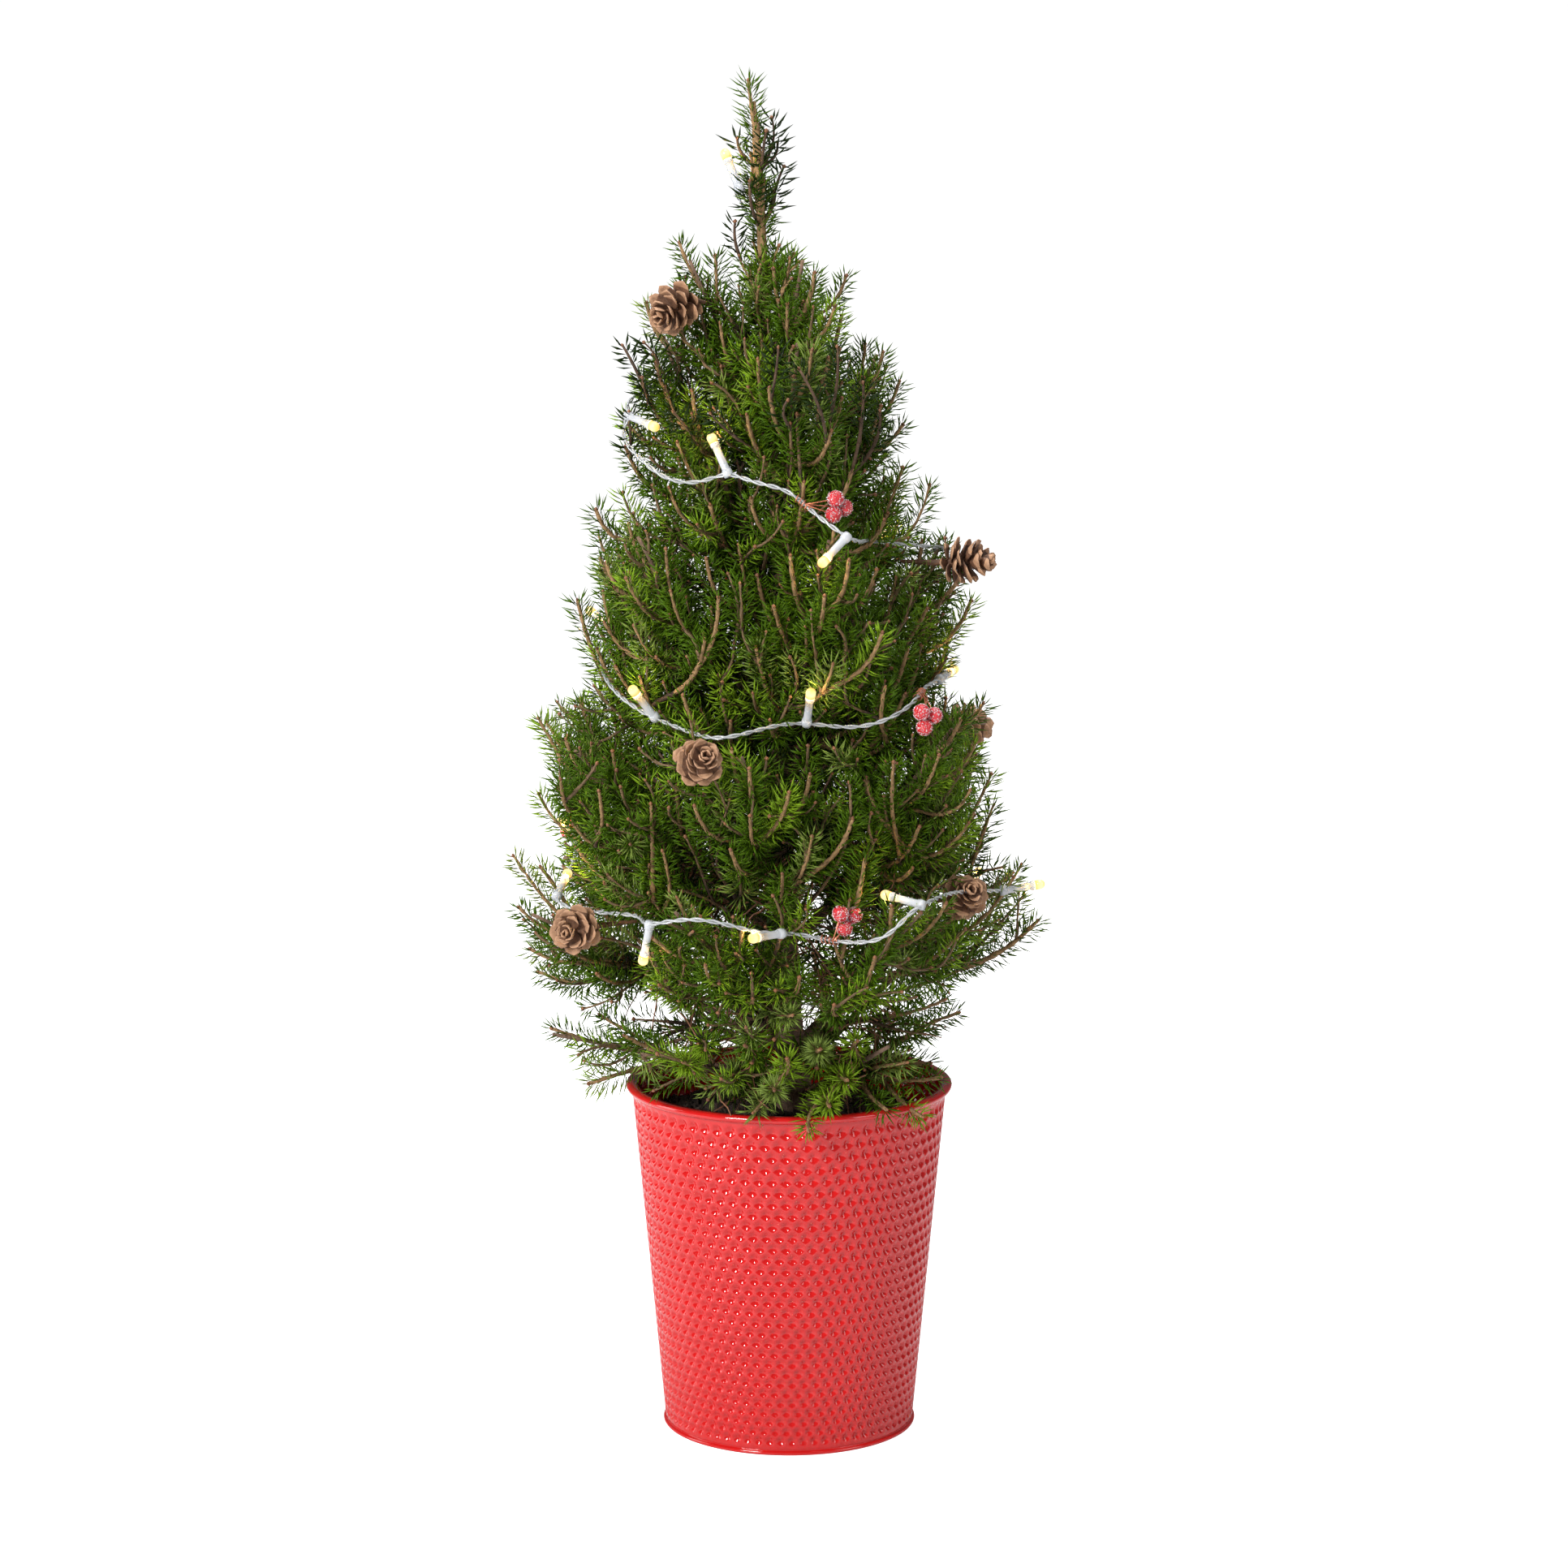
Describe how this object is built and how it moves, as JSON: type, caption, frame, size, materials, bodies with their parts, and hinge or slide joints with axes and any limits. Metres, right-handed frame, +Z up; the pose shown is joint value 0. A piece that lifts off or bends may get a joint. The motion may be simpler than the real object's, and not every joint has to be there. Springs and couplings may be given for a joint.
{
  "type": "potted christmas tree",
  "caption": "Dwarf conical spruce in a tapered red metal pot with rolled rim and foot, for the table or floor.",
  "frame": {"origin": "middle of the pot's flat underside", "axes": "+Z up along the pot's axis, -Y to the front, +X to the right seen from the front"},
  "size_m": [0.3278, 0.3299, 0.832],
  "materials": {
    "lacquer": "gloss red lacquer on embossed sheet",
    "peat": "moist dark peat with bark bits",
    "bark": "scaly grey-brown bark",
    "needles": "soft needle sprays",
    "cone_scales": "dry matt cone scales",
    "frosted_berries": "red bead with sugar frost",
    "copper_wire": "bare copper-coloured wire",
    "clear_cable": "clear twisted flex",
    "lamp_holder": "milky lamp holder",
    "lamp": "lit warm lamp"
  },
  "bodies": {
    "root": {"pot": "lacquer", "soil": "peat", "trunk": "bark", "bough_skirt_1": "bark", "foliage_skirt_1": "needles", "bough_skirt_2": "bark", "foliage_skirt_2": "needles", "bough_skirt_3": "bark", "foliage_skirt_3": "needles", "bough_skirt_4": "bark", "foliage_skirt_4": "needles", "bough_skirt_5": "bark", "foliage_skirt_5": "needles", "bough_skirt_6": "bark", "foliage_skirt_6": "needles", "bough_low_1": "bark", "foliage_low_1": "needles", "bough_low_2": "bark", "foliage_low_2": "needles", "bough_low_3": "bark", "foliage_low_3": "needles", "bough_low_4": "bark", "foliage_low_4": "needles", "bough_low_5": "bark", "foliage_low_5": "needles", "bough_low_6": "bark", "foliage_low_6": "needles", "bough_low_7": "bark", "foliage_low_7": "needles", "bough_waist_1": "bark", "foliage_waist_1": "needles", "bough_waist_2": "bark", "foliage_waist_2": "needles", "bough_waist_3": "bark", "foliage_waist_3": "needles", "bough_waist_4": "bark", "foliage_waist_4": "needles", "bough_waist_5": "bark", "foliage_waist_5": "needles", "bough_waist_6": "bark", "foliage_waist_6": "needles", "bough_middle_1": "bark", "foliage_middle_1": "needles", "bough_middle_2": "bark", "foliage_middle_2": "needles", "bough_middle_3": "bark", "foliage_middle_3": "needles", "bough_middle_4": "bark", "foliage_middle_4": "needles", "bough_middle_5": "bark", "foliage_middle_5": "needles", "foliage_high_1": "needles", "foliage_high_2": "needles", "foliage_high_3": "needles", "foliage_high_4": "needles", "foliage_upper_1": "needles", "foliage_upper_2": "needles", "foliage_upper_3": "needles", "foliage_leader": "needles"}
  },
  "joints": []
}
